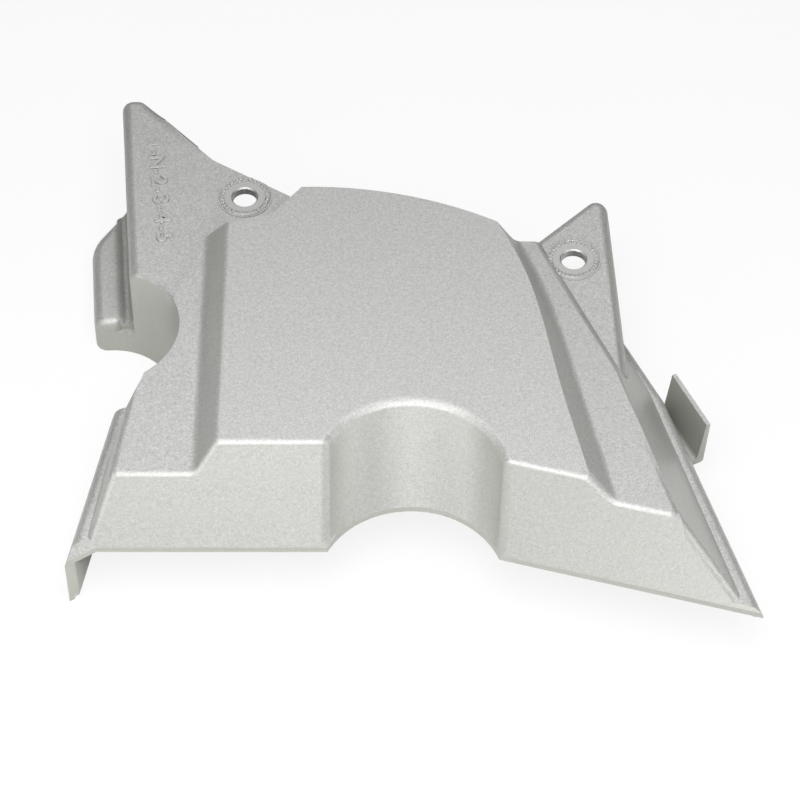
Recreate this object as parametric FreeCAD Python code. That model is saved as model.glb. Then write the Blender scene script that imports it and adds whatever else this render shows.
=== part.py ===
import FreeCAD, Part
import math
import os

# Front sprocket cover of a small motorcycle: one moulded shell with two pressed steel collars.
# X runs along the lip, Y runs away from the lip and Z points out of the engine.
# The origin is on the axis of the left bolt hole, in the seat face of the two fixing ears.

# Heights above the seat face of the ears, in millimetres
wall = 2.2
foot_lip = 1.1
plateau_height = 9.7
left_band_height = 3.5
right_band_front_height = 5.9
right_band_back_height = 3.2
flank_top_height = 5.0
ledge_height = -9.8
lip_height = -10.8
lip_land = 1.9
finger_height = -17.3
foot_height = -28.0
foot_step_height = 1.0
ear_flange_depth = 6.0

# Front slope, given by its crease at plateau height and its run over drop
front_crease_y = -95.6
left_front_run = 0.956
right_crease_x = 83.3
right_crease_y = -105.1
right_front_angle = 15.5
right_front_run = 0.762
leg_x = -36.0
leg_angle = 32.0
right_end_run = 1.35

# Arch that clears the swingarm boss
arch_radius = 24.8
arch_x = 47.3
arch_y = -106.8

# Plateau outline at its top, and the leans of its walls as run over drop
plateau_left_x = -4.2
plateau_left_y = -16.6
notch_x = 5.6
notch_y = -13.9
plateau_corner_x = 14.1
plateau_corner_y = -3.0
step_front_x = 93.6
step_front_y = -106.0
step_mid_x = 86.7
step_mid_y = -73.0
step_bend_x = 77.3
step_bend_y = -30.0
step_back_x = 72.3
step_back_y = -18.0
left_step_run = 0.925
right_step_back_run = 0.65
right_step_mid_run = 1.1
right_step_front_run = 1.35
notch_run = 0.3
back_draft = 0.04
back_arc_radius = 108.0
back_arc_x = 19.3
back_arc_y = -110.9

# Left band and its side wall
band_left_front_x = -32.4
band_left_front_y = -102.0
band_left_mid_x = -29.0
band_left_mid_y = -78.0
band_left_cut_x = -25.5
band_left_cut_y = -68.5
band_ear_front_x = -18.7
band_ear_front_y = -40.6
band_ear_back_x = -9.3
left_side_run = 0.18
left_side_front_run = 0.33
shift_cut_radius = 20.8
shift_cut_run = 0.11
shift_cut_x = -37.4
shift_cut_y = -49.3

# Right band, its flank and the rim below
band_right_back_x = 81.7
band_right_back_y = -18.0
band_right_bend_x = 102.6
band_right_bend_y = -66.5
band_right_front_x = 118.4
band_right_front_y = -121.5
flank_run = 0.75
flank_back_y = -44.0
rim_right_front_x = 137.6
rim_right_front_y = -132.7
rim_right_bend_x = 117.2
rim_right_bend_y = -64.8
rim_right_back_x = 107.6
rim_left_front_x = -43.7
rim_left_front_y = -118.7
rim_left_back_x = -34.7
rim_left_back_y = -70.8

# Ears, their bolt holes and the cable finger beside the left ear
body_back_y = -13.9
ear_left_front_x = -31.0
ear_left_front_y = -33.6
ear_left_tip_x = -37.6
ear_left_tip_y = 40.6
ear_tip_width = 6.4
ear_left_root_x = 20.0
ear_left_root_y = -4.0
ear_left_mid_x = -24.3
ear_left_mid_y = 31.5
ear_left_notch_x = -8.6
ear_left_notch_y = 14.2
ear_right_root_x = 78.0
ear_right_root_y = -21.0
ear_right_tip_x = 101.2
ear_right_tip_y = 1.9
ear_right_side_x = 103.6
ear_right_side_y = -3.1
ear_right_front_x = 106.5
ear_right_front_y = -66.0
right_bolt_x = 93.0
right_bolt_y = -24.1
finger_width = 11.4
finger_groove_width = 2.2
finger_groove_depth = 3.5
finger_side_back_y = 0.0
finger_front_y = -38.0
finger_back_y = 12.5

# Steel collars and the moulded rings round them
collar_bore_radius = 3.5
collar_radius = 5.7
collar_chamfer = 0.4
ring_radius = 7.8
ring_height = 0.3

# Clip tab beside the right wall, shaped like a J in section
tab_back_y = -60.7
tab_length = 19.7
tab_gap = 4.4
tab_foot_gap = 2.6
tab_top_height = -6.8
tab_foot_height = -22.5
tab_top_thickness = 1.2
tab_foot_thickness = 2.0
tab_bend_round = 1.2

# Rounds
top_round = 2.6
cove_round = 3.0
ear_round = 3.0
ear_tip_round = 3.2
ear_front_round = 1.4
finger_round = 3.6
finger_top_round = 3.0
finger_back_round = 14.0
rim_round = 2.8

# How far the curve of the right step runs on past the front crease
step_run_out = 60.0

# Extra length of the tools that cut right through
reach = 60.0


def vec(x, y, z):
    return FreeCAD.Vector(x, y, z)


def polygon(corners, z):
    points = [vec(x, y, z) for x, y in corners]
    return Part.makePolygon(points + points[:1])


def prism(corners, low, high):
    return Part.Face(polygon(corners, low)).extrude(vec(0, 0, high - low))


def spread(corners, distances):
    # Moves each side of a counter-clockwise outline outward by its own distance
    moved = []
    for i in range(len(corners)):
        before = vec(*corners[i - 1], 0)
        here = vec(*corners[i], 0)
        after = vec(*corners[(i + 1) % len(corners)], 0)
        u = (here - before).normalize()
        v = (after - here).normalize()
        start = here + vec(u.y, -u.x, 0) * distances[i - 1]
        gap = here + vec(v.y, -v.x, 0) * distances[i] - start
        along = (gap.x * v.y - gap.y * v.x) / (u.x * v.y - u.y * v.x)
        corner = start + u * along
        moved.append((corner.x, corner.y))
    return moved


def leaning_block(corners, runs, reference, high, low, skin):
    # A block whose sides pass through the corners at the reference height and lean outward below it
    def outline(z):
        distances = [(reference - z) * run - skin * math.sqrt(1 + run * run) for run in runs]
        return polygon(spread(corners, distances), z)
    return Part.makeLoft([outline(low), outline(high)], True, True)


def at_y(x1, y1, x2, y2, y):
    # Where the line through two plan points reaches a given Y
    return x1 + (x2 - x1) * (y - y1) / (y2 - y1)


front_limit = front_crease_y - reach
step_limit = front_crease_y - step_run_out
back_limit_y = plateau_corner_y + 8.0


def back_limit(skin):
    # The round back of the cover, and the flat behind the right band
    depth = plateau_height - foot_height
    low_radius = back_arc_radius + depth * back_draft - skin
    high_radius = back_arc_radius - skin
    centre = vec(back_arc_x, back_arc_y, foot_height - 1)
    round_back = Part.makeCone(low_radius, high_radius, depth + 1, centre)
    corner = vec(arch_x, front_limit, foot_height - 1)
    flat_back = Part.makeBox(reach * 2, band_right_back_y - skin - front_limit, depth + 1, corner)
    return round_back.fuse(flat_back).removeSplitter()


def right_step(z, skin):
    # The curve of the plateau's right edge, or of its wall at a lower height
    front_x = at_y(step_mid_x, step_mid_y, step_front_x, step_front_y, step_limit)
    back_x = at_y(step_bend_x, step_bend_y, step_back_x, step_back_y, back_limit_y)
    stations = [(front_x, step_limit, right_step_front_run),
                (step_front_x, step_front_y, right_step_front_run),
                (step_mid_x, step_mid_y, right_step_mid_run),
                (step_bend_x, step_bend_y, right_step_back_run),
                (step_back_x, step_back_y, right_step_back_run),
                (back_x, back_limit_y, right_step_back_run)]
    points = []
    for i in range(len(stations)):
        x, y, run = stations[i]
        before = stations[max(i - 1, 0)]
        after = stations[min(i + 1, len(stations) - 1)]
        along = vec(after[0] - before[0], after[1] - before[1], 0).normalize()
        offset = (plateau_height - z) * run - skin * math.sqrt(1 + run * run)
        points.append(vec(x + along.y * offset, y - along.x * offset, z))
    curve = Part.BSplineCurve()
    curve.interpolate(points)
    return curve.toShape(), points[0], points[-1]


def plateau_outline(z, skin):
    # The plateau in plan at one height: straight sides and a curved right edge
    notch_back_x = at_y(notch_x, notch_y, plateau_corner_x, plateau_corner_y, back_limit_y)
    right, front_end, back_end = right_step(z, skin)
    corners = [(front_end.x, step_limit),
               (back_end.x, back_limit_y),
               (notch_back_x, back_limit_y),
               (notch_x, notch_y),
               (plateau_left_x, plateau_left_y),
               (plateau_left_x, step_limit)]
    runs = [0, 0, notch_run, notch_run, left_step_run, 0]
    distances = [(plateau_height - z) * run - skin * math.sqrt(1 + run * run) for run in runs]
    straight = [vec(x, y, z) for x, y in spread(corners, distances)[2:]]
    path = [back_end] + straight + [front_end]
    lines = [Part.makeLine(path[i], path[i + 1]) for i in range(len(path) - 1)]
    return Part.Wire([right] + lines)


def plateau_form(skin):
    wires = [plateau_outline(-skin, skin), plateau_outline(plateau_height - skin, skin)]
    return Part.makeLoft(wires, True, True)


def left_sides():
    # The left band's outline at its top, and the lean of each side
    front_x = at_y(band_left_mid_x, band_left_mid_y, band_left_front_x, band_left_front_y, front_limit)
    notch_back_x = at_y(notch_x, notch_y, plateau_corner_x, plateau_corner_y, back_limit_y)
    corners = [(front_x, front_limit),
               (arch_x, front_limit),
               (arch_x, back_limit_y),
               (notch_back_x, back_limit_y),
               (notch_x, body_back_y),
               (band_ear_back_x, body_back_y),
               (band_ear_front_x, band_ear_front_y),
               (band_left_cut_x, band_left_cut_y),
               (band_left_mid_x, band_left_mid_y)]
    runs = [0, 0, 0, notch_run, 0, left_side_run, left_side_run, left_side_run, left_side_front_run]
    return corners, runs


def left_form(skin):
    corners, runs = left_sides()
    low = ledge_height - wall - skin
    return leaning_block(corners, runs, left_band_height, left_band_height - skin, low, skin)


def right_top(skin):
    # Everything under the sloping top of the right band
    run = band_right_back_y - band_right_front_y
    slope = (right_band_front_height - right_band_back_height) / run
    front_z = right_band_front_height - skin + (band_right_front_y - front_limit) * slope
    back_z = right_band_back_height - skin - (back_limit_y - band_right_back_y) * slope
    profile = [vec(0, front_limit - 1, foot_height - reach),
               vec(0, back_limit_y + 1, foot_height - reach),
               vec(0, back_limit_y + 1, back_z - slope),
               vec(0, front_limit - 1, front_z + slope)]
    face = Part.Face(Part.makePolygon(profile + profile[:1]))
    return face.extrude(vec(reach * 4, 0, 0))


def right_outline(left_x):
    front_x = at_y(band_right_bend_x, band_right_bend_y, band_right_front_x, band_right_front_y, front_limit)
    back_x = at_y(band_right_bend_x, band_right_bend_y, band_right_back_x, band_right_back_y, back_limit_y)
    return [(left_x, front_limit),
            (front_x, front_limit),
            (band_right_bend_x, band_right_bend_y),
            (back_x, back_limit_y),
            (left_x, back_limit_y)]


def right_form(skin):
    # The right band and the flank that leans out below its edge
    low = ledge_height - wall - skin
    runs = [0, flank_run, flank_run, 0, 0]
    block = leaning_block(right_outline(arch_x), runs, flank_top_height, flank_top_height + 5, low, skin)
    return block.common(right_top(skin))


def right_core(skin):
    # The upright wall behind the flank, under the right ear
    moved = spread(right_outline(plateau_corner_x + wall), [-skin] * 5)
    return prism(moved, ledge_height - wall - skin, flank_top_height).common(right_top(skin))


def ear_bay(skin):
    # The space below the right ear, which the flank leaves free
    corner = vec(arch_x, flank_back_y - skin, foot_height - reach)
    return Part.makeBox(reach * 2, reach, reach - foot_height + (left_band_height if skin else 0), corner)


def ear_block(skin, high):
    # The closed box under the left ear, between the shift cut and the back wall
    corners = [(ear_left_side(shift_cut_y), shift_cut_y),
               (notch_x, shift_cut_y),
               (notch_x, body_back_y),
               (ear_left_side(body_back_y), body_back_y)]
    moved = spread(corners, [-skin] * 4)
    return prism(moved, ledge_height - wall - skin, high)


def ear_left_side(y):
    # The X of the left ear's outer side at a given Y
    return at_y(ear_left_front_x, ear_left_front_y, ear_left_tip_x, ear_left_tip_y, y)


def skirt_outline():
    # The outer face of the wall that stands on the engine
    left_x = at_y(rim_left_back_x, rim_left_back_y, rim_left_front_x, rim_left_front_y, front_limit)
    right_x = at_y(rim_right_bend_x, rim_right_bend_y, rim_right_front_x, rim_right_front_y, front_limit)
    back_x = right_outline(0)[3][0]
    flank_x = at_y(band_right_bend_x, band_right_bend_y, back_x, back_limit_y, flank_back_y)
    notch_back_x = at_y(notch_x, notch_y, plateau_corner_x, plateau_corner_y, back_limit_y)
    return [(left_x, front_limit),
            (right_x, front_limit),
            (rim_right_bend_x, rim_right_bend_y),
            (rim_right_back_x, flank_back_y),
            (flank_x, flank_back_y),
            (back_x, back_limit_y),
            (notch_back_x, back_limit_y),
            (notch_x, body_back_y),
            (ear_left_side(body_back_y), body_back_y),
            (ear_left_side(shift_cut_y), shift_cut_y),
            (rim_left_back_x, rim_left_back_y)]


def skirt_form(skin, low):
    corners = skirt_outline()
    return prism(spread(corners, [-skin] * len(corners)), low, ledge_height - skin)


def finger_outline(side, skin):
    corners = [(ear_left_side(finger_front_y) - side, finger_front_y),
               (ear_left_side(finger_back_y) - side, finger_back_y),
               (ear_left_side(finger_side_back_y) - finger_width, finger_side_back_y),
               (ear_left_side(finger_front_y) - finger_width, finger_front_y)]
    return spread(corners, [-skin] * 4)


def finger_ridge(skin, low):
    # The ridge beside the left ear that holds the clutch cable away
    return prism(finger_outline(finger_groove_width, skin), low, finger_height - skin)


def finger_web(skin, low):
    # The floor of the groove between the ridge and the ear
    width = finger_groove_width + finger_round
    back_y = (finger_side_back_y + finger_back_y) / 2
    corners = [(ear_left_side(finger_front_y), finger_front_y),
               (ear_left_side(back_y), back_y),
               (ear_left_side(back_y) - width, back_y),
               (ear_left_side(finger_front_y) - width, finger_front_y)]
    return prism(spread(corners, [-skin] * 4), low, finger_height - finger_groove_depth - skin)


def slope_front(angle, x, y, run, skin, low):
    # Everything in front of one part of the front slope, down to a given height
    shift = skin * math.sqrt(1 + run * run)
    top_y = (reach - plateau_height) * run + shift
    low_y = (low - plateau_height) * run + shift
    profile = [vec(0, top_y, reach),
               vec(0, low_y, low),
               vec(0, -reach * 2, low),
               vec(0, -reach * 2, reach)]
    face = Part.Face(Part.makePolygon(profile + profile[:1]))
    solid = face.extrude(vec(reach * 6, 0, 0))
    solid.translate(vec(-reach * 3, 0, 0))
    solid.rotate(vec(0, 0, 0), vec(0, 0, 1), -angle)
    solid.translate(vec(x, y, 0))
    return solid


def front_cutter(skin, low):
    left = slope_front(0, 0, front_crease_y, left_front_run, skin, low)
    right = slope_front(right_front_angle, right_crease_x, right_crease_y, right_front_run, skin, low)
    return left.common(right)


def lip_line(x):
    # The Y of the lip, in plan, at a given X
    drop = plateau_height - lip_height
    left_y = front_crease_y - drop * left_front_run
    angle = math.radians(right_front_angle)
    run = drop * right_front_run
    start_x = right_crease_x - run * math.sin(angle)
    start_y = right_crease_y - run * math.cos(angle)
    right_y = start_y - (x - start_x) * math.tan(angle)
    return min(left_y, right_y)


def lip_cutter(low, high):
    # The upright cut below the lip, swung forward at the leg of the left rim
    end_x = rim_right_front_x
    start_x = right_crease_x
    bend_x = at_y(start_x, lip_line(start_x), end_x, lip_line(end_x), lip_line(leg_x))
    far_x = rim_right_front_x + reach
    leg_y = lip_line(leg_x) - reach * math.tan(math.radians(leg_angle))
    corners = [(leg_x - reach, leg_y),
               (leg_x - reach, front_limit - reach),
               (far_x, front_limit - reach),
               (far_x, lip_line(far_x)),
               (bend_x, lip_line(leg_x)),
               (leg_x, lip_line(leg_x))]
    return prism(corners, low, high)


def arch_cutter(skin, low):
    # A round cut that runs down parallel to the front slope
    radius = arch_radius + skin
    shift = skin * (math.sqrt(1 + left_front_run * left_front_run) - 1)
    drop = plateau_height - low
    centre = vec(arch_x, arch_y + shift, plateau_height)
    slide = vec(0, -left_front_run, -1)
    circle = Part.makeCircle(radius, centre - slide * reach / 2, vec(0, 0, 1))
    return Part.Face(Part.Wire([circle])).extrude(slide * (drop + reach / 2))


def arch_foot_cutter():
    drop = plateau_height - lip_height
    centre = vec(arch_x, arch_y - drop * left_front_run, foot_height - reach)
    return Part.makeCylinder(arch_radius, lip_height - foot_height + reach, centre)


def shift_cutter(skin):
    # A round cut that widens upward
    low_radius = shift_cut_radius + skin + (foot_height - reach) * shift_cut_run
    high_radius = shift_cut_radius + skin + reach * shift_cut_run
    centre = vec(shift_cut_x, shift_cut_y, foot_height - reach)
    return Part.makeCone(low_radius, high_radius, reach * 2 - foot_height, centre)


def right_end_cutter():
    # Trims the right wall back below the lip corner
    high = lip_height - lip_land
    low = foot_height - 1
    corner_y = lip_line(rim_right_front_x)
    profile = [vec(arch_x * 2, corner_y, high),
               vec(arch_x * 2, corner_y + (high - low) * right_end_run, low),
               vec(arch_x * 2, front_limit, low),
               vec(arch_x * 2, front_limit, high)]
    face = Part.Face(Part.makePolygon(profile + profile[:1]))
    return face.extrude(vec(reach * 2, 0, 0))


def near(edges, low_x, high_x, low_y, high_y, low_z, high_z):
    # The edges that lie wholly inside a box
    room = FreeCAD.BoundBox(low_x, low_y, low_z, high_x, high_y, high_z)
    return [edge for edge in edges if room.isInside(edge.BoundBox)]


def sloped(block, low):
    # A form with the front slope cut on it
    return block.cut(front_cutter(0, low)).removeSplitter()


def steps():
    # The plateau on its two bands, with a cove along the foot of each step
    low = ledge_height - wall
    depth = back_limit_y - front_limit
    left = Part.makeBox(arch_x + reach, depth, left_band_height - low, vec(-reach, front_limit, low))
    right = Part.makeBox(reach * 2, depth, reach, vec(arch_x, front_limit, low)).common(right_top(0))
    mass = plateau_form(0).fuse([left, right]).removeSplitter()
    feet = near(mass.Edges, 1 - reach, reach * 2.5, front_limit - 1, back_limit_y + 1, 1, plateau_height - 1)
    return mass.makeFillet(cove_round, [edge for edge in feet if edge.BoundBox.YLength > reach])


def side_limit():
    # Everything between the outer sides of the two bands
    corners, runs = left_sides()
    low = ledge_height - wall
    high = plateau_height + 1
    left = leaning_block(corners, runs, left_band_height, high, low, 0)
    right_runs = [0, flank_run, flank_run, 0, 0]
    right = leaning_block(right_outline(arch_x), right_runs, flank_top_height, high, low, 0)
    return left.fuse(right)


def upper_body():
    # The stepped mass with its slope, and one run of rounds over all its crests
    mass = sloped(steps().common(side_limit()), ledge_height - wall - 1)
    all_x = [-reach, reach * 4]
    crests = near(mass.Edges, *all_x, -reach * 4, front_crease_y + 1, left_band_height - 1, reach)
    tops = near(mass.Edges, *all_x, -reach * 4, 0, plateau_height - 0.01, reach)
    crests = crests + [edge for edge in tops if edge.BoundBox.YLength > reach]
    flank_back = [band_right_bend_y - 1, back_limit_y + 1]
    flank_front = [front_limit - 1, band_right_bend_y + 1]
    flank_back_x = [band_right_back_x - reach, band_right_bend_x + 1]
    flank_front_x = [band_right_bend_x - 1, reach * 4]
    crests = crests + near(mass.Edges, *flank_back_x, *flank_back, 0, flank_top_height)
    crests = crests + near(mass.Edges, *flank_front_x, *flank_front, 0, plateau_height)
    left_side = [-reach, band_left_mid_x + 1, -reach * 4, band_left_mid_y + 1]
    crests = crests + near(mass.Edges, *left_side, left_band_height - 1, reach)
    left_corner = [-reach, band_left_front_x + 1, -reach * 4, band_left_front_y + 1]
    middle_x = (band_right_bend_x + band_right_front_x) / 2
    right_corner = [middle_x, reach * 4, -reach * 4, band_right_front_y + top_round * 2]
    corners = near(mass.Edges, *left_corner, -reach, reach) + near(mass.Edges, *right_corner, -reach, reach)
    crests = crests + [edge for edge in corners if edge.BoundBox.ZLength > plateau_height]
    single = []
    for edge in crests:
        if not any(edge.isSame(other) for other in single):
            single.append(edge)
    return mass.makeFillet(top_round, single).common(back_limit(0))


def rounded_skirt():
    block = skirt_form(0, foot_height)
    left_side = [-reach, rim_left_back_x + 1, -reach * 4, 0]
    right_side = [rim_right_back_x - 1, reach * 4, -reach * 4, 0]
    tops = near(block.Edges, *left_side, ledge_height - 0.01, reach)
    tops = tops + near(block.Edges, *right_side, ledge_height - 0.01, reach)
    block = block.makeFillet(rim_round, tops)
    return sloped(block, lip_height).common(back_limit(0))


def ear_left_outline():
    return [(ear_left_side(shift_cut_y), shift_cut_y),
            (band_ear_back_x, shift_cut_y),
            (notch_x, body_back_y - wall),
            (ear_left_root_x, ear_left_root_y),
            (ear_left_notch_x, ear_left_notch_y),
            (ear_left_mid_x, ear_left_mid_y),
            (ear_left_tip_x + ear_tip_width, ear_left_tip_y),
            (ear_left_tip_x, ear_left_tip_y)]


def ear_right_outline():
    return [(step_mid_x, step_mid_y + wall),
            (band_right_bend_x, band_right_bend_y),
            (ear_right_front_x, ear_right_front_y),
            (ear_right_side_x, ear_right_side_y),
            (ear_right_tip_x, ear_right_tip_y),
            (ear_right_root_x, ear_right_root_y)]


def rounded_ears():
    left = prism(ear_left_outline(), -ear_flange_depth, wall)
    tip = near(left.Edges, -reach, 0, ear_left_tip_y - 1, reach, -reach, reach)
    left = left.makeFillet(ear_tip_round, [edge for edge in tip if edge.BoundBox.ZLength > wall])
    side = near(left.Edges, -reach, ear_left_front_x + 5, -reach, ear_left_tip_y + 1, wall - 0.01, reach)
    left = left.makeFillet(ear_round, [edge for edge in side if edge.BoundBox.YLength > reach])
    left = left.cut(shift_cutter(0))
    front = near(left.Edges, -reach, 0, -reach, ear_left_front_y + 10, wall - 0.01, reach)
    left = left.makeFillet(ear_front_round, [edge for edge in front if edge.BoundBox.YLength > wall])
    right = prism(ear_right_outline(), -ear_flange_depth, wall)
    tip = near(right.Edges, ear_right_tip_x - 1, reach * 4, ear_right_side_y - 1, reach, -reach, reach)
    right = right.makeFillet(ear_tip_round, [edge for edge in tip if edge.BoundBox.ZLength > wall])
    side = near(right.Edges, ear_right_side_x - 1, reach * 4, -reach * 4, reach, wall - 0.01, reach)
    right = right.makeFillet(ear_round, [edge for edge in side if edge.BoundBox.YLength > reach / 2])
    return [left, right]


def rounded_finger():
    block = finger_ridge(0, foot_height).cut(shift_cutter(0))
    side_x = ear_left_side(finger_side_back_y) - finger_width
    upright = [edge for edge in block.Edges if edge.BoundBox.ZLength > wall]
    back = near(upright, side_x - 1, side_x + 5, finger_side_back_y - 1, finger_back_y - 1, -reach, reach)
    block = block.makeFillet(finger_back_round, back)
    upright = [edge for edge in block.Edges if edge.BoundBox.ZLength > wall]
    middle_y = (finger_front_y + finger_side_back_y) / 2
    front = near(upright, -reach, 0, -reach, middle_y, -reach, reach)
    block = block.makeFillet(finger_round, front)
    tops = near(block.Edges, -reach, reach, -reach, reach, finger_height - 0.01, reach)
    return block.makeFillet(finger_top_round, tops)


def finger_wall():
    # Carries the left ear's side down to the foot beside the finger
    corners = [(ear_left_side(finger_front_y), finger_front_y),
               (ear_left_side(finger_front_y) + wall, finger_front_y),
               (ear_left_side(finger_back_y) + wall, finger_back_y),
               (ear_left_side(finger_back_y), finger_back_y)]
    return prism(corners, foot_height, 0)


def clip_tab():
    # A leaning plate on a foot, extruded along the right wall
    start_x = at_y(rim_right_back_x, flank_back_y, rim_right_bend_x, rim_right_bend_y, tab_back_y)
    along = vec(rim_right_bend_x - rim_right_back_x, rim_right_bend_y - flank_back_y, 0).normalize()
    out = vec(-along.y, along.x, 0)
    profile = [(-wall, tab_foot_height),
               (tab_foot_gap + tab_foot_thickness, tab_foot_height),
               (tab_gap + tab_top_thickness, tab_top_height),
               (tab_gap, tab_top_height),
               (tab_foot_gap, tab_foot_height + tab_foot_thickness),
               (-wall, tab_foot_height + tab_foot_thickness)]
    points = [vec(start_x, tab_back_y, z) + out * u for u, z in profile]
    tab = Part.Face(Part.makePolygon(points + points[:1])).extrude(along * tab_length)
    outer_side = [start_x, reach * 3, -reach * 2, reach]
    bends = near(tab.Edges, *outer_side, tab_foot_height - 1, tab_foot_height + wall)
    bends = [edge for edge in bends if edge.Length > tab_length - 1]
    return tab.makeFillet(tab_bend_round, bends)


def bolt_places():
    return [(0, 0), (right_bolt_x, right_bolt_y)]


def body_outer():
    # The closed body, without the ears
    core = sloped(right_core(0), ledge_height - wall - 1).common(back_limit(0))
    return upper_body().cut(ear_bay(0)).fuse([core, ear_block(0, -ear_round), rounded_skirt()])


def outer_cuts(body):
    body = body.cut(lip_cutter(foot_height - 1, lip_height))
    body = body.cut([arch_cutter(0, lip_height), arch_foot_cutter()])
    return body.cut([shift_cutter(0), right_end_cutter()])


def hollows():
    # The space inside the walls, as the forms that are taken out one after another
    low = foot_height - 0.5
    limit = back_limit(wall)
    stop_corner = vec(0, flank_back_y - wall - reach * 4, -reach)
    flank_stop = Part.makeBox(reach * 4, reach * 4, reach * 2, stop_corner)
    flank = right_form(wall).common(flank_stop)
    forms = [plateau_form(wall), left_form(wall), flank, right_core(wall), skirt_form(wall, low)]
    land_height = lip_height - lip_land
    stops = [front_cutter(wall, land_height), arch_cutter(wall, land_height), shift_cutter(wall)]
    inner = [form.common(limit).cut(stops) for form in forms]
    finger = finger_ridge(wall, foot_height - 1).fuse(finger_web(wall, foot_height - 1))
    outline = skirt_outline()
    lip_outline = spread(outline, [-foot_lip] * len(outline))
    foot_step = prism(lip_outline, foot_height - 1, foot_height + foot_step_height)
    inner.append(ear_block(wall, 0).cut(shift_cutter(wall)))
    inner.append(finger.cut(shift_cutter(wall)))
    inner.append(foot_step.cut(shift_cutter(foot_lip)))
    return inner


def ear_trays(body):
    # The hollows under the two ears, up to the wall of the body
    # The left ear has no flange along its short back edge, behind the bolt
    inward = [-wall] * 3 + [wall] + [-wall] * 4
    left = prism(spread(ear_left_outline(), inward), -ear_flange_depth - 1, 0)
    right = prism(spread(ear_right_outline(), [-wall] * 6), -ear_flange_depth - 1, 0)
    return left.fuse(right).cut([body, ear_block(0, 0)])


def bolt_rings():
    # The raised rings round the collars, trimmed to the ears
    rings = []
    for (x, y), outline in zip(bolt_places(), [ear_left_outline(), ear_right_outline()]):
        ring = Part.makeCylinder(ring_radius, wall + ring_height, vec(x, y, 0))
        rings.append(ring.common(prism(outline, 0, wall + ring_height)))
    return rings


def bolt_holes():
    return [Part.makeCylinder(collar_radius, reach, vec(x, y, -reach / 2)) for x, y in bolt_places()]


def cover():
    body = outer_cuts(body_outer())
    parts = rounded_ears() + [rounded_finger(), finger_web(0, foot_height), finger_wall(), clip_tab()]
    shell = body.fuse(parts).cut(shift_cutter(0)).cut(ear_trays(body))
    for hollow in hollows():
        shell = shell.cut(hollow)
    return shell.fuse(bolt_rings()).cut(bolt_holes()).removeSplitter()


def collar(x, y):
    # A turned steel sleeve, flush with its ring, with a chamfer on the mouth of its bore
    length = wall + ring_height
    sleeve = Part.makeCylinder(collar_radius, length, vec(x, y, 0))
    sleeve = sleeve.cut(Part.makeCylinder(collar_bore_radius, length, vec(x, y, 0)))
    tops = [edge for edge in sleeve.Edges if edge.BoundBox.ZMin > wall]
    mouth = min(tops, key=lambda edge: edge.Length)
    return sleeve.makeChamfer(collar_chamfer, [mouth])


os.makedirs("parts", exist_ok=True)
moulding = cover()
moulding.exportStep("parts/cover.step")
left_collar = collar(*bolt_places()[0])
right_collar = collar(*bolt_places()[1])
left_collar.exportStep("parts/collar_left.step")
right_collar.exportStep("parts/collar_right.step")
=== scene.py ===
import logging
import math
from dataclasses import dataclass, field
from enum import Enum
from typing import Callable, Optional, Union

import bmesh
import bpy
from mathutils import Matrix, Vector
from mathutils.geometry import intersect_point_line


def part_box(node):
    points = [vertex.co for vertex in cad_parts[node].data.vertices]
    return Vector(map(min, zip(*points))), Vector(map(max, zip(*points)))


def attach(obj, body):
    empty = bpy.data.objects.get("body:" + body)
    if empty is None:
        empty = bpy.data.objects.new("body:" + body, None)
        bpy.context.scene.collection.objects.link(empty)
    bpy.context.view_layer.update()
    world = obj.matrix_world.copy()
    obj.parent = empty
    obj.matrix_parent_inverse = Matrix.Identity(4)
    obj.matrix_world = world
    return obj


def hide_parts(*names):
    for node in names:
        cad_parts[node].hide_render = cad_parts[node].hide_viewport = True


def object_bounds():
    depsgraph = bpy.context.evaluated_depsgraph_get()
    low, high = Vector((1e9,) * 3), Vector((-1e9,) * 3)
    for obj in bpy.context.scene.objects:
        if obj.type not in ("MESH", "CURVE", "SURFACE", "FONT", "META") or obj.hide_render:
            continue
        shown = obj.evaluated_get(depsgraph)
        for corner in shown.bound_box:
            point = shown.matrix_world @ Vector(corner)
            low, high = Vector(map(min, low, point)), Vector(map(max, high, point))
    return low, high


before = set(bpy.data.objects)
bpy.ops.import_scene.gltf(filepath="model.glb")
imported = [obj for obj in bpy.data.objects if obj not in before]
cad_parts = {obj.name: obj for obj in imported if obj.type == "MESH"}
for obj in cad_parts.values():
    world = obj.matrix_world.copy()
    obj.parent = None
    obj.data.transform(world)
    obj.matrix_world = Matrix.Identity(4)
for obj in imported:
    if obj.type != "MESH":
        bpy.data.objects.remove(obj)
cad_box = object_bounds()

logging.basicConfig(level=logging.INFO, format="%(name)s: %(message)s")
LOG = logging.getLogger("sprocket_cover")

MM = 0.001
MERGE_DISTANCE = 0.001 * MM
EAR_TOP = 2.2 * MM
# In degrees: an edge that bends more than this shows as one
SHARP_ANGLE = 35.0
Number = Union[float, "Signal"]
Colour = tuple[float, float, float, float]
WHITE: Colour = (1.0, 1.0, 1.0, 1.0)


def place_field(x: float, y: float, z: float) -> Vector:
    """A dataclass field whose default is a place given in millimetres."""
    return field(default_factory=lambda: Vector((x, y, z)) * MM)


class Slot(Enum):
    """A finish name, paint, which nothing in this script gives to a piece."""

    PAINT = "paint"


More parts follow.
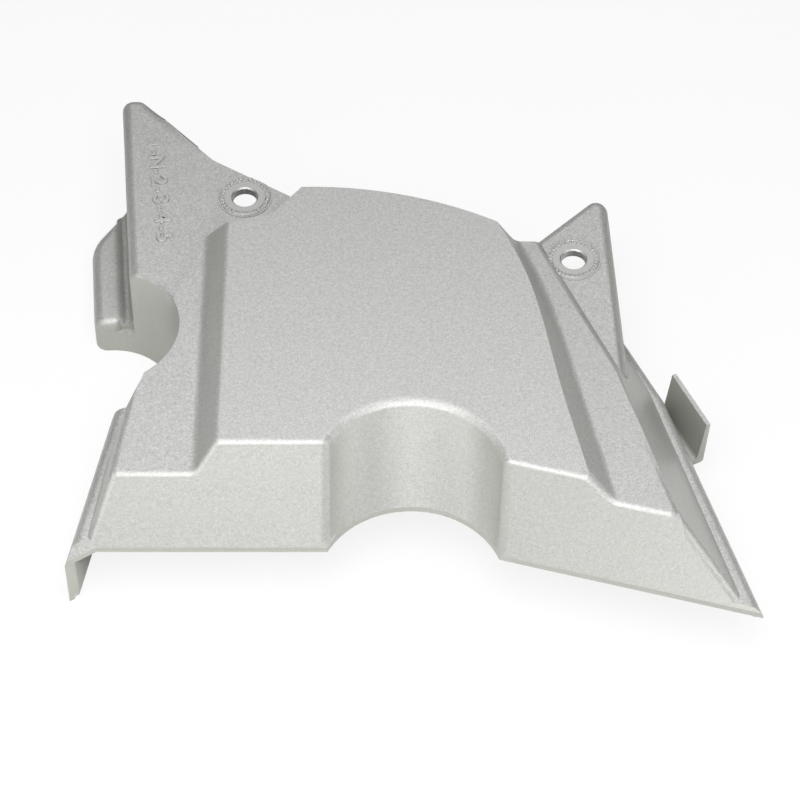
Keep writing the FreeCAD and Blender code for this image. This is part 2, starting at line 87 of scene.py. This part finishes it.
@dataclass(frozen=True)
class Signal:
    """A shader value that takes part in sums written as Python expressions."""

    tree: bpy.types.NodeTree
    socket: bpy.types.NodeSocket

    def maths(self, operation: str, first: Number, second: Number) -> "Signal":
        """Adds one Math node.

        Args:
            operation: the Math node's operation.
            first: the upper input, a number or a signal.
            second: the lower input, a number or a signal.

        Returns:
            The node's result.
        """
        node = self.tree.nodes.new("ShaderNodeMath")
        node.operation = operation
        for socket, value in zip(node.inputs, (first, second)):
            if isinstance(value, Signal):
                self.tree.links.new(value.socket, socket)
            else:
                socket.default_value = value
        return Signal(self.tree, node.outputs[0])

    def __add__(self, other: Number) -> "Signal":
        """Self plus other."""
        return self.maths("ADD", self, other)

    def __radd__(self, other: Number) -> "Signal":
        """Other plus self."""
        return self.maths("ADD", other, self)

    def __sub__(self, other: Number) -> "Signal":
        """Self minus other."""
        return self.maths("SUBTRACT", self, other)

    def __rsub__(self, other: Number) -> "Signal":
        """Other minus self."""
        return self.maths("SUBTRACT", other, self)

    def __mul__(self, other: Number) -> "Signal":
        """Self times other."""
        return self.maths("MULTIPLY", self, other)

    def __rmul__(self, other: Number) -> "Signal":
        """Other times self."""
        return self.maths("MULTIPLY", other, self)

    def __pow__(self, other: Number) -> "Signal":
        """Self to the power of other."""
        return self.maths("POWER", self, other)

    def at_most(self, other: Number) -> "Signal":
        """The smaller of self and other."""
        return self.maths("MINIMUM", self, other)

    def at_least(self, other: Number) -> "Signal":
        """The larger of self and other."""
        return self.maths("MAXIMUM", self, other)


class Shader:
    """The nodes of one material or of the world."""

    def __init__(self, tree: bpy.types.NodeTree) -> None:
        """Empties the tree and keeps it.

        Args:
            tree: the node tree to build in.
        """
        self.tree = tree
        tree.nodes.clear()

    def node(self, kind: str, settings: dict, inputs: dict) -> bpy.types.Node:
        """Adds a node, sets it up and feeds it.

        Args:
            kind: the node's type.
            settings: its own properties, set before its sockets.
            inputs: socket name or number to a value, a signal or a socket.

        Returns:
            The node.
        """
        node = self.tree.nodes.new(kind)
        for name, value in settings.items():
            setattr(node, name, value)
        for name, value in inputs.items():
            if isinstance(value, Signal):
                self.tree.links.new(value.socket, node.inputs[name])
            elif isinstance(value, bpy.types.NodeSocket):
                self.tree.links.new(value, node.inputs[name])
            else:
                node.inputs[name].default_value = value
        return node

    def signal(self, socket: bpy.types.NodeSocket) -> Signal:
        """A socket as a signal."""
        return Signal(self.tree, socket)

    def noise(self, place: bpy.types.NodeSocket, scale: float, detail: float) -> Signal:
        """Grey noise at a place.

        Args:
            place: the coordinates.
            scale: the noise's scale, per metre.
            detail: its octaves.

        Returns:
            A signal round 0.5.
        """
        inputs = {"Vector": place, "Scale": scale, "Detail": detail}
        return self.signal(self.node("ShaderNodeTexNoise", {}, inputs).outputs["Fac"])

    def blend(self, factor: Number, first: Colour, second: Colour) -> bpy.types.NodeSocket:
        """Mixes two colours.

        Args:
            factor: 0 gives the first colour and 1 the second.
            first: the first colour.
            second: the second colour.

        Returns:
            The mixed colour's socket.
        """
        inputs = {0: factor, 6: first, 7: second}
        return self.node("ShaderNodeMix", {"data_type": "RGBA"}, inputs).outputs[2]

    def scaled(self, colour: bpy.types.NodeSocket, amount: Signal) -> bpy.types.NodeSocket:
        """Brightens or darkens a colour.

        Args:
            colour: the colour's socket.
            amount: what it is multiplied by.

        Returns:
            The new colour's socket.
        """
        inputs = {0: colour, "Scale": amount}
        return self.node("ShaderNodeVectorMath", {"operation": "SCALE"}, inputs).outputs[0]

    def bump(self, height: Signal, distance: float, strength: float) -> bpy.types.NodeSocket:
        """A normal bent by a height.

        Args:
            height: the height signal.
            distance: the height of a step of one, in metres.
            strength: how much of it shows.

        Returns:
            The normal's socket.
        """
        inputs = {"Height": height, "Distance": distance, "Strength": strength}
        return self.node("ShaderNodeBump", {}, inputs).outputs["Normal"]

    def finish(self, constants: dict, varying: dict) -> None:
        """Ends a material with its surface shader.

        Args:
            constants: Principled socket name to a fixed value.
            varying: Principled socket name to a socket or signal.
        """
        surface = self.node("ShaderNodeBsdfPrincipled", {}, {**constants, **varying})
        self.node("ShaderNodeOutputMaterial", {}, {"Surface": surface.outputs[0]})


def new_material(name: str) -> tuple[bpy.types.Material, Shader]:
    """Makes an empty material.

    Args:
        name: the material's name.

    Returns:
        The material and its shader builder.
    """
    material = bpy.data.materials.new(name)
    material.use_nodes = True
    return material, Shader(material.node_tree)


@dataclass(frozen=True)
class SilverPaint:
    """Silver metallic paint with painted light: level faces get a brighter, grainier lit colour, steep ones
    a smoother, darker and greener painted shade.
    """

    # The lit colour of level faces, and the painted shade that steep faces take instead
    level: Colour = (0.50, 0.50, 0.49, 1.0)
    shaded_steep: Colour = (0.42, 0.425, 0.385, 1.0)
    level_power: float = 1.5
    metallic: float = 0.35
    roughness: float = 0.42
    roughness_spread: float = 0.25
    coat_weight: float = 0.12
    coat_roughness: float = 0.18
    flake_scale: float = 3000.0
    patch_scale: float = 1050.0
    patch_weight: float = 0.35
    steep_grain: float = 0.2
    peel_scale: float = 420.0
    sparkle: float = 1.1
    peel_height: float = 0.02 * MM
    flake_height: float = 0.05 * MM

    def build(self) -> bpy.types.Material:
        """The paint's material."""
        material, shader = new_material("silver_paint")
        place = shader.node("ShaderNodeTexCoord", {}, {}).outputs["Object"]
        normal = shader.node("ShaderNodeNewGeometry", {}, {}).outputs["Normal"]
        up = shader.signal(shader.node("ShaderNodeSeparateXYZ", {}, {0: normal}).outputs["Z"])
        # How level a face is: its share of the lit colour over the painted shade
        level = (up.at_least(0.0) ** self.level_power).at_most(1.0)
        flakes = shader.noise(place, self.flake_scale, 2.0) - 0.5
        patches = shader.noise(place, self.patch_scale, 1.0) - 0.5
        # The flake grain shows mostly on level faces, where it is partly a painted glint of flakes catching
        # the light
        shown = level * (1.0 - self.steep_grain) + self.steep_grain
        grain = (flakes + patches * self.patch_weight) * shown
        # Painted shade: steep faces darken to the greener shaded colour, while level faces keep the lit one
        colour = shader.blend(level, self.shaded_steep, self.level)
        colour = shader.scaled(colour, grain * self.sparkle + 1.0)
        peel = shader.noise(place, self.peel_scale, 2.0)
        relief = peel * (self.peel_height / self.flake_height) + grain
        normal = shader.bump(relief, self.flake_height, 1.0)
        roughness = flakes * self.roughness_spread + self.roughness
        constants = {"Metallic": self.metallic, "Coat Weight": self.coat_weight,
                     "Coat Roughness": self.coat_roughness}
        shader.finish(constants, {"Base Color": colour, "Roughness": roughness, "Normal": normal})
        return material


@dataclass(frozen=True)
class TurnedSteel:
    """Bare steel with fine turning marks round one axis."""

    name: str
    centre: Vector
    colour: Colour = (0.60, 0.60, 0.59, 1.0)
    metallic: float = 0.85
    smoothest: float = 0.4
    roughness_spread: float = 0.2
    ring_scale: float = 900.0
    ring_wobble: float = 0.6
    ring_weight: float = 0.5
    stain_scale: float = 700.0
    darkest: float = 0.85
    stain_spread: float = 0.3
    mark_height: float = 0.01 * MM
    mark_strength: float = 0.6

    def build(self) -> bpy.types.Material:
        """The steel's material."""
        material, shader = new_material(self.name)
        place = shader.node("ShaderNodeTexCoord", {}, {}).outputs["Object"]
        settings = {"vector_type": "POINT"}
        inputs = {"Vector": place, "Location": -self.centre}
        local = shader.node("ShaderNodeMapping", settings, inputs).outputs[0]
        settings = {"wave_type": "RINGS", "rings_direction": "Z"}
        inputs = {"Vector": local, "Scale": self.ring_scale, "Distortion": self.ring_wobble, "Detail": 1.0}
        rings = shader.signal(shader.node("ShaderNodeTexWave", settings, inputs).outputs["Fac"])
        stain = shader.noise(local, self.stain_scale, 3.0)
        red, green, blue = self.colour[:3]
        steel = shader.node("ShaderNodeCombineColor", {}, {0: red, 1: green, 2: blue}).outputs[0]
        colour = shader.scaled(steel, stain * self.stain_spread + self.darkest)
        normal = shader.bump(rings * self.ring_weight + stain, self.mark_height, self.mark_strength)
        roughness = stain * self.roughness_spread + self.smoothest
        shader.finish({"Metallic": self.metallic},
                      {"Base Color": colour, "Roughness": roughness, "Normal": normal})
        return material


class Maker:
    """Turns a bmesh into a finished piece."""

    @staticmethod
    def piece(name: str, mesh: bmesh.types.BMesh, material: bpy.types.Material,
              smooth: bool) -> bpy.types.Object:
        """Makes an object at the origin.

        Args:
            name: the object's name.
            mesh: its shape, which is freed.
            material: its finish.
            smooth: whether its faces are shaded smooth.

        Returns:
            The object.
        """
        data = bpy.data.meshes.new(name)
        for face in mesh.faces:
            face.smooth = smooth
        mesh.to_mesh(data)
        mesh.free()
        data.materials.append(material)
        made = bpy.data.objects.new(name, data)
        bpy.context.collection.objects.link(made)
        LOG.info("%s: %d faces", name, len(data.polygons))
        return made

    @staticmethod
    def firm_normals(mesh: bmesh.types.BMesh,
                     known: Optional[Callable[[Vector], Optional[Vector]]] = None) -> list[Vector]:
        """Corner normals that keep large faces flat beside small rounds.

        Args:
            mesh: the shape.
            known: gives the exact normal at a place on a surface that has one.

        Returns:
            One normal for each face corner, in the order of the faces.
        """
        limit = math.cos(math.radians(SHARP_ANGLE))
        areas = {face: face.calc_area() for face in mesh.faces}
        normals = []
        for face in mesh.faces:
            for corner in face.loops:
                exact = known(corner.vert.co) if known else None
                if exact is not None and face.normal.dot(exact) > limit:
                    normals.append(exact)
                    continue
                alike = [other for other in corner.vert.link_faces if face.normal.dot(other.normal) > limit]
                total = sum((other.normal * areas[other] for other in alike), Vector())
                normals.append(total.normalized() if total.length else face.normal.copy())
        return normals


@dataclass(frozen=True)
class Glyph:
    """A character's mesh and its measures."""

    data: bpy.types.Mesh

    def span(self, axis: int) -> tuple[float, float]:
        """The lowest and highest coordinate along one axis."""
        values = [vertex.co[axis] for vertex in self.data.vertices]
        return min(values), max(values)

    @property
    def dimensions(self) -> Vector:
        """The mesh's width, height and depth."""
        return Vector(high - low for low, high in (self.span(axis) for axis in range(3)))

    @property
    def centre_x(self) -> float:
        """The middle of its width."""
        return sum(self.span(0)) / 2

    @property
    def low_z(self) -> float:
        """Its lowest point."""
        return self.span(2)[0]


@dataclass(frozen=True)
class Arch:
    """The slanted round wall of the arch, and the round along its upper edge."""

    centre: Vector = place_field(47.3, -106.8, 9.7)
    radius: float = 24.8 * MM
    run: float = 0.956
    reach: float = 20.3 * MM
    depth: float = 20.5 * MM
    wall_tolerance: float = 0.1 * MM
    shortest_edge: float = 0.5 * MM
    edge_round: float = 2.0 * MM
    strip: float = 2.6 * MM
    steps: int = 6

    def offset(self, place: Vector) -> tuple[float, float, float]:
        """How far a place lies across and along from the arch's slanted axis, and below its top."""
        drop = self.centre.z - place.z
        return place.x - self.centre.x, place.y - self.centre.y + drop * self.run, drop

    def turn(self, place: Vector) -> float:
        """The angle of a place about the arch's slanted axis."""
        across, along, _ = self.offset(place)
        return math.atan2(across, along)

    def normal(self, place: Vector) -> Optional[Vector]:
        """The exact normal of the arch's wall.

        Args:
            place: a place on the moulding.

        Returns:
            The normal, or None away from the arch's outer wall.
        """
        across, along, drop = self.offset(place)
        if abs(math.hypot(across, along) - self.radius) > self.wall_tolerance or drop > self.reach:
            return None
        return -Vector((across, along, -along * self.run)).normalized()

    def holds(self, edge: bmesh.types.BMEdge) -> bool:
        """Whether an edge is a sharp one along the arch's top or its two sides.

        Args:
            edge: the edge.

        Returns:
            True on the arch's outer edge.
        """
        if edge.calc_face_angle(0.0) < math.radians(SHARP_ANGLE):
            return False
        return all(self.normal(vertex.co) is not None for vertex in edge.verts)

    def rim(self, shape: bmesh.types.BMesh) -> tuple[list[bmesh.types.BMEdge], set[bmesh.types.BMVert]]:
        """The arch's outer edge.

        Args:
            shape: the cover's mesh.

        Returns:
            The edges along it and their vertices.
        """
        edges = [edge for edge in shape.edges if self.holds(edge)]
        return edges, {vertex for edge in edges for vertex in edge.verts}

    def round_rim(self, shape: bmesh.types.BMesh) -> None:
        """Rounds the arch's outer edge.

        Args:
            shape: the cover's mesh.
        """
        _, corners = self.rim(shape)
        ordered = [vertex for vertex in shape.verts if vertex in corners]
        bmesh.ops.remove_doubles(shape, verts=ordered, dist=self.shortest_edge)
        edges, corners = self.rim(shape)
        LOG.info("arch edge: %d edges", len(edges))
        self.clear_strip(shape, corners)
        bmesh.ops.bevel(shape, geom=edges, offset=self.edge_round, segments=self.steps, profile=0.5,
                        affect="EDGES", material=-1, offset_type="OFFSET", clamp_overlap=False)

    def clear_strip(self, shape: bmesh.types.BMesh, corners: set[bmesh.types.BMVert]) -> None:
        """Slides the wall's inner vertices along the wall, off the strip that the round takes.

        Args:
            shape: the cover's mesh.
            corners: the vertices along the arch's edge.
        """
        turns = [self.turn(vertex.co) for vertex in corners]
        first, last = min(turns), max(turns)
        margin = self.strip / self.radius
        turn_share = 1.0 - 2.0 * margin / (last - first)
        drop_share = 1.0 - self.strip / self.depth
        for vertex in shape.verts:
            if vertex not in corners and self.normal(vertex.co) is not None:
                turn = first + margin + (self.turn(vertex.co) - first) * turn_share
                drop = self.strip + (self.centre.z - vertex.co.z) * drop_share
                across = self.radius * math.sin(turn)
                along = self.radius * math.cos(turn) - drop * self.run
                vertex.co = self.centre + Vector((across, along, -drop))


@dataclass(frozen=True)
class LeftEar:
    """The back edge of the left ear, from its tip over a bend to the collar."""

    tip: Vector = place_field(-31.2, 40.6, 0.0)
    bend: Vector = place_field(-24.3, 31.5, 0.0)
    collar_end: Vector = place_field(-8.6, 14.2, 0.0)
    edge_round: float = 3.1 * MM
    top_margin: float = 0.1 * MM
    least_rise: float = -0.1
    # Shares of a stretch's length: where the squaring starts, and how far it runs past the bend and the end
    first_share: float = 0.3
    bend_share: float = 1.1
    last_share: float = 1.02

    def beside(self, place: Vector, start: Vector, end: Vector, shares: tuple[float, float]) -> bool:
        """Whether a place lies within the round's width of a straight stretch.

        Args:
            place: the place, at height zero.
            start: the stretch's first end.
            end: its second end.
            shares: the part of the stretch that counts, as two shares of its length.

        Returns:
            True beside that part.
        """
        foot, share = intersect_point_line(place, start, end)
        return shares[0] < share < shares[1] and (place - foot).length < self.edge_round

    def square(self, shape: bmesh.types.BMesh) -> None:
        """Raises the round along the back edge to the ear's top.

        Args:
            shape: the cover's mesh.
        """
        for vertex in shape.verts:
            low, high = EAR_TOP - self.edge_round, EAR_TOP + self.top_margin
            if low < vertex.co.z < high and vertex.normal.z > self.least_rise:
                flat = Vector((vertex.co.x, vertex.co.y, 0.0))
                by_tip = self.beside(flat, self.tip, self.bend, (self.first_share, self.bend_share))
                if by_tip or self.beside(flat, self.bend, self.collar_end, (0.0, self.last_share)):
                    vertex.co.z = EAR_TOP


@dataclass(frozen=True)
class GearOrder:
    """The gear order, raised on the left ear and reading down its left side."""

    text: str = "1-N-2-3-4-5"
    first_glyph: Vector = place_field(-26.3, 21.3, 0.0)
    last_glyph: Vector = place_field(-21.8, -15.7, 0.0)
    cap_height: float = 4.7 * MM
    letter_stretch: float = 1.12
    dash_stretch: float = 0.85
    relief: float = 0.6 * MM
    sink: float = 0.3 * MM
    # In the font's own units, before each character is brought to its size
    font_depth: float = 0.02
    font_growth: float = 0.012
    font_bevel: float = 0.03
    bevel_steps: int = 2
    curve_steps: int = 5

    def build(self, paint: bpy.types.Material) -> bpy.types.Object:
        """Sets the characters along their line.

        Args:
            paint: the silver paint.

        Returns:
            The letters.
        """
        along = self.last_glyph - self.first_glyph
        reading = along.normalized()
        upward = Vector((-reading.y, reading.x, 0.0))
        turn = Matrix((reading, upward, Vector((0.0, 0.0, 1.0)))).transposed().to_4x4()
        cap = self.glyph("N").dimensions.y
        scale = self.cap_height / cap
        shape = bmesh.new()
        for number, character in enumerate(self.text):
            mesh = self.glyph(character)
            stretch = self.dash_stretch if character == "-" else self.letter_stretch
            depth = (self.relief + self.sink) / mesh.dimensions.z
            centre = self.first_glyph + along * number / (len(self.text) - 1)
            centre.z = EAR_TOP - self.sink
            sizes = Matrix.Diagonal((scale * stretch, scale, depth, 1.0))
            shift = Matrix.Translation((-mesh.centre_x, -cap / 2, -mesh.low_z))
            place = Matrix.Translation(centre) @ turn @ sizes @ shift
            before = len(shape.verts)
            shape.from_mesh(mesh.data)
            shape.verts.ensure_lookup_table()
            bmesh.ops.transform(shape, verts=shape.verts[before:], matrix=place)
        bmesh.ops.remove_doubles(shape, verts=shape.verts, dist=MERGE_DISTANCE)
        return Maker.piece("gear_order", shape, paint, False)

    def glyph(self, character: str) -> Glyph:
        """One character with rounded edges, as a mesh of its own.

        Args:
            character: the character.

        Returns:
            The mesh and its measures.
        """
        curve = bpy.data.curves.new("glyph", "FONT")
        curve.body = character
        curve.extrude = self.font_depth
        curve.offset = self.font_growth
        curve.bevel_depth = self.font_bevel
        curve.bevel_resolution = self.bevel_steps
        curve.resolution_u = self.curve_steps
        holder = bpy.data.objects.new("glyph", curve)
        bpy.context.collection.objects.link(holder)
        bpy.context.view_layer.update()
        data = bpy.data.meshes.new_from_object(holder)
        bpy.data.objects.remove(holder)
        return Glyph(data)


@dataclass(frozen=True)
class GrooveFillet:
    """The hollow fillet between the cable finger and the ear's side."""

    # The section's points are in millimetres, across from the ear's side and up
    section: tuple[tuple[float, float], ...] = (
        (0.8, -27.5), (0.8, -16.6), (0.0, -16.9), (-0.3, -17.9), (-0.8, -18.7), (-1.5, -19.2),
        (-2.2, -19.2), (-2.8, -18.8), (-3.4, -18.3), (-3.9, -18.6), (-3.9, -27.5))
    front: float = -29.6 * MM
    back: float = 15.2 * MM
    back_slant: float = 1.25
    side: Vector = place_field(-31.0, -33.6, 0.0)
    side_lean: float = 0.0889

    def build(self, paint: bpy.types.Material) -> bpy.types.Object:
        """Draws the section along the ear's side.

        Args:
            paint: the silver paint.

        Returns:
            The fillet.
        """
        shape = bmesh.new()
        points = [Vector((across * MM, self.front, height * MM)) for across, height in self.section]
        first = shape.faces.new([shape.verts.new(point) for point in points])
        swept = bmesh.ops.extrude_face_region(shape, geom=[first])
        far_end = [item for item in swept["geom"] if isinstance(item, bmesh.types.BMVert)]
        for vertex in far_end:
            vertex.co.y = self.back + vertex.co.x * self.back_slant
        for vertex in shape.verts:
            vertex.co.x += self.side.x - (vertex.co.y - self.side.y) * self.side_lean
        bmesh.ops.recalc_face_normals(shape, faces=shape.faces)
        normals = Maker.firm_normals(shape)
        groove = Maker.piece("groove_fillet", shape, paint, True)
        groove.data.normals_split_custom_set(normals)
        return groove


@dataclass(frozen=True)
class Moulding:
    """The painted moulding, with its gear order and the fillet of its groove."""

    arch: Arch = field(default_factory=Arch)
    left_ear: LeftEar = field(default_factory=LeftEar)
    gear_order: GearOrder = field(default_factory=GearOrder)
    groove: GrooveFillet = field(default_factory=GrooveFillet)
    flat_angle: float = 0.2

    def build(self, paint: bpy.types.Material) -> None:
        """Builds the shell and what is set on it.

        Args:
            paint: the silver paint.
        """
        shell = self.shell(paint)
        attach(shell, "root")
        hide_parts("cover")
        for piece in (self.gear_order.build(paint), self.groove.build(paint)):
            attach(piece, "root")

    def shell(self, paint: bpy.types.Material) -> bpy.types.Object:
        """The cover with a rounded arch and a squared left ear.

        Args:
            paint: the silver paint.

        Returns:
            The shell.
        """
        shape = bmesh.new()
        shape.from_mesh(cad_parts["cover"].data)
        bmesh.ops.remove_doubles(shape, verts=shape.verts, dist=MERGE_DISTANCE)
        bmesh.ops.dissolve_limit(shape, angle_limit=math.radians(self.flat_angle), verts=shape.verts,
                                 edges=shape.edges, use_dissolve_boundaries=False)
        shape.normal_update()
        self.left_ear.square(shape)
        self.arch.round_rim(shape)
        shape.normal_update()
        normals = Maker.firm_normals(shape, self.arch.normal)
        shell = Maker.piece("shell", shape, paint, True)
        shell.data.normals_split_custom_set(normals)
        return shell


@dataclass(frozen=True)
class BoltCollar:
    """A steel collar, with the knurl and the bead that the moulding has round it."""

    node: str
    knurl_name: str
    bead_name: str
    tooth_count: int = 34
    knurl_radius: float = 6.45 * MM
    tooth_length: float = 1.1 * MM
    tooth_width: float = 0.7 * MM
    tooth_rise: float = 0.35 * MM
    tooth_sink: float = 0.2 * MM
    tooth_bevel: float = 0.21 * MM
    bead_radius: float = 7.0 * MM
    bead_thickness: float = 0.34 * MM
    bead_sides: int = 12
    bead_steps: int = 96

    def build(self, paint: bpy.types.Material) -> None:
        """Dresses the collar and adds its knurl and its bead.

        Args:
            paint: the silver paint, which covers the knurl and the bead.
        """
        low, high = (Vector(corner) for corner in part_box(self.node))
        centre = (low + high) / 2
        centre.z = high.z
        steel = TurnedSteel(self.node + "_steel", centre).build()
        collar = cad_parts[self.node]
        collar.data.materials.clear()
        collar.data.materials.append(steel)
        LOG.info("%s dressed in steel", self.node)
        for piece in (self.knurl(centre, paint), self.bead(centre, paint)):
            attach(piece, "root")

    def knurl(self, centre: Vector, paint: bpy.types.Material) -> bpy.types.Object:
        """The ring of small raised teeth round the collar.

        Args:
            centre: the middle of the collar's top.
            paint: the silver paint.

        Returns:
            The knurl.
        """
        shape = bmesh.new()
        height = self.tooth_rise + self.tooth_sink
        size = Vector((self.tooth_length, self.tooth_width, height))
        middle = Vector((self.knurl_radius, 0.0, self.tooth_rise - height / 2))
        tooth = Matrix.Translation(middle) @ Matrix.Diagonal((*size, 1.0))
        for number in range(self.tooth_count):
            turn = Matrix.Rotation(number * math.tau / self.tooth_count, 4, "Z")
            bmesh.ops.create_cube(shape, size=1.0, matrix=Matrix.Translation(centre) @ turn @ tooth)
        tops = [edge for edge in shape.edges if min(vertex.co.z for vertex in edge.verts) > centre.z]
        bmesh.ops.bevel(shape, geom=tops, offset=self.tooth_bevel, segments=2, profile=0.5,
                        affect="EDGES", material=-1, offset_type="OFFSET", clamp_overlap=True)
        return Maker.piece(self.knurl_name, shape, paint, True)

    def bead(self, centre: Vector, paint: bpy.types.Material) -> bpy.types.Object:
        """The round bead along the outside of the moulded ring.

        Args:
            centre: the middle of the collar's top.
            paint: the silver paint.

        Returns:
            The bead.
        """
        shape = bmesh.new()
        upright = Matrix.Rotation(math.pi / 2, 4, "X")
        place = Matrix.Translation(Vector((self.bead_radius, 0.0, 0.0))) @ upright
        bmesh.ops.create_circle(shape, cap_ends=False, segments=self.bead_sides,
                                radius=self.bead_thickness, matrix=place)
        bmesh.ops.spin(shape, geom=list(shape.verts) + list(shape.edges), cent=(0.0, 0.0, 0.0),
                       axis=(0.0, 0.0, 1.0), angle=math.tau, steps=self.bead_steps, use_merge=True)
        bmesh.ops.remove_doubles(shape, verts=shape.verts, dist=MERGE_DISTANCE)
        bmesh.ops.recalc_face_normals(shape, faces=shape.faces)
        bmesh.ops.translate(shape, verts=shape.verts, vec=centre)
        return Maker.piece(self.bead_name, shape, paint, True)


@dataclass(frozen=True)
class Lamp:
    """A square soft lamp, with its places and its side in metres and its power in watts."""

    name: str
    place: tuple[float, float, float]
    target: tuple[float, float, float]
    side: float
    power: float

    def hang(self) -> None:
        """Hangs the lamp and turns it to its target."""
        data = bpy.data.lights.new(self.name, "AREA")
        data.size = self.side
        data.energy = self.power
        holder = bpy.data.objects.new(self.name, data)
        holder.location = self.place
        aim = Vector(self.target) - Vector(self.place)
        holder.rotation_euler = aim.to_track_quat("-Z", "Y").to_euler()
        bpy.context.collection.objects.link(holder)


@dataclass(frozen=True)
class Studio:
    """The pale floor, the white surround, the lamps and the camera."""

    camera_place: Vector = place_field(44.34, -583.95, 612.74)
    camera_far: float = 20.0
    # The tilt is in degrees from straight down, and the sensor's width in millimetres
    camera_tilt: float = 39.8
    sensor: float = 36.0
    focal_pixels: float = 2950.0
    image_pixels: float = 800.0
    floor_side: float = 6.0
    floor_white: float = 0.94
    floor_glow: float = 0.86
    sky_level: float = 0.05
    lamps: tuple[Lamp, ...] = (
        Lamp("key", (0.03, -0.19, 0.30), (0.045, -0.09, 0.0), 0.26, 0.95),
        Lamp("top", (0.05, 0.45, 1.0), (0.045, -0.05, 0.0), 0.9, 3.5),
        Lamp("front", (0.05, -0.8, 0.12), (0.045, -0.09, 0.0), 0.3, 1.8),
        Lamp("left_fill", (-0.20, -0.22, 0.16), (-0.01, -0.11, 0.0), 0.2, 0.27),
        Lamp("right_fill", (0.32, -0.18, 0.14), (0.11, -0.10, 0.0), 0.2, 0.25))

    def build(self) -> None:
        """Sets up the stage."""
        scene = bpy.context.scene
        scene.view_settings.view_transform = "Standard"
        self.camera()
        self.floor()
        self.world()
        for lamp in self.lamps:
            lamp.hang()

    def camera(self) -> None:
        """Places the camera at the photograph's view."""
        data = bpy.data.cameras.new("camera")
        data.sensor_width = self.sensor
        data.lens = self.sensor * self.focal_pixels / self.image_pixels
        data.clip_end = self.camera_far
        holder = bpy.data.objects.new("camera", data)
        holder.location = self.camera_place
        holder.rotation_euler = (math.radians(self.camera_tilt), 0.0, 0.0)
        bpy.context.collection.objects.link(holder)
        bpy.context.scene.camera = holder

    def floor(self) -> None:
        """Lays the floor under the cover's foot."""
        shape = bmesh.new()
        bmesh.ops.create_grid(shape, x_segments=1, y_segments=1, size=self.floor_side / 2)
        bmesh.ops.translate(shape, verts=shape.verts, vec=Vector((0.0, 0.0, cad_box[0][2])))
        material, shader = new_material("floor_white")
        rays = shader.node("ShaderNodeLightPath", {}, {}).outputs
        seen = shader.signal(rays["Is Camera Ray"])
        grey = (self.floor_white, self.floor_white, self.floor_white, 1.0)
        matt = shader.node("ShaderNodeBsdfDiffuse", {}, {"Color": grey})
        glow = shader.node("ShaderNodeEmission", {}, {"Color": WHITE, "Strength": 1.0})
        inputs = {0: seen * self.floor_glow, 1: matt.outputs[0], 2: glow.outputs[0]}
        mixed = shader.node("ShaderNodeMixShader", {}, inputs)
        shader.node("ShaderNodeOutputMaterial", {}, {"Surface": mixed.outputs[0]})
        Maker.piece("floor", shape, material, False)

    def world(self) -> None:
        """A white surround that lights softly."""
        world = bpy.data.worlds.new("white_surround")
        world.use_nodes = True
        bpy.context.scene.world = world
        shader = Shader(world.node_tree)
        rays = shader.node("ShaderNodeLightPath", {}, {}).outputs
        strength = shader.signal(rays["Is Camera Ray"]) * (1.0 - self.sky_level) + self.sky_level
        inputs = {"Color": WHITE, "Strength": strength}
        sky = shader.node("ShaderNodeBackground", {}, inputs)
        shader.node("ShaderNodeOutputWorld", {}, {"Surface": sky.outputs[0]})


def main() -> None:
    """Builds the stage and dresses the cover."""
    paint = SilverPaint().build()
    Studio().build()
    Moulding().build(paint)
    BoltCollar("collar_left", "knurl_left", "bead_left").build(paint)
    BoltCollar("collar_right", "knurl_right", "bead_right").build(paint)


if __name__ == "__main__":
    main()
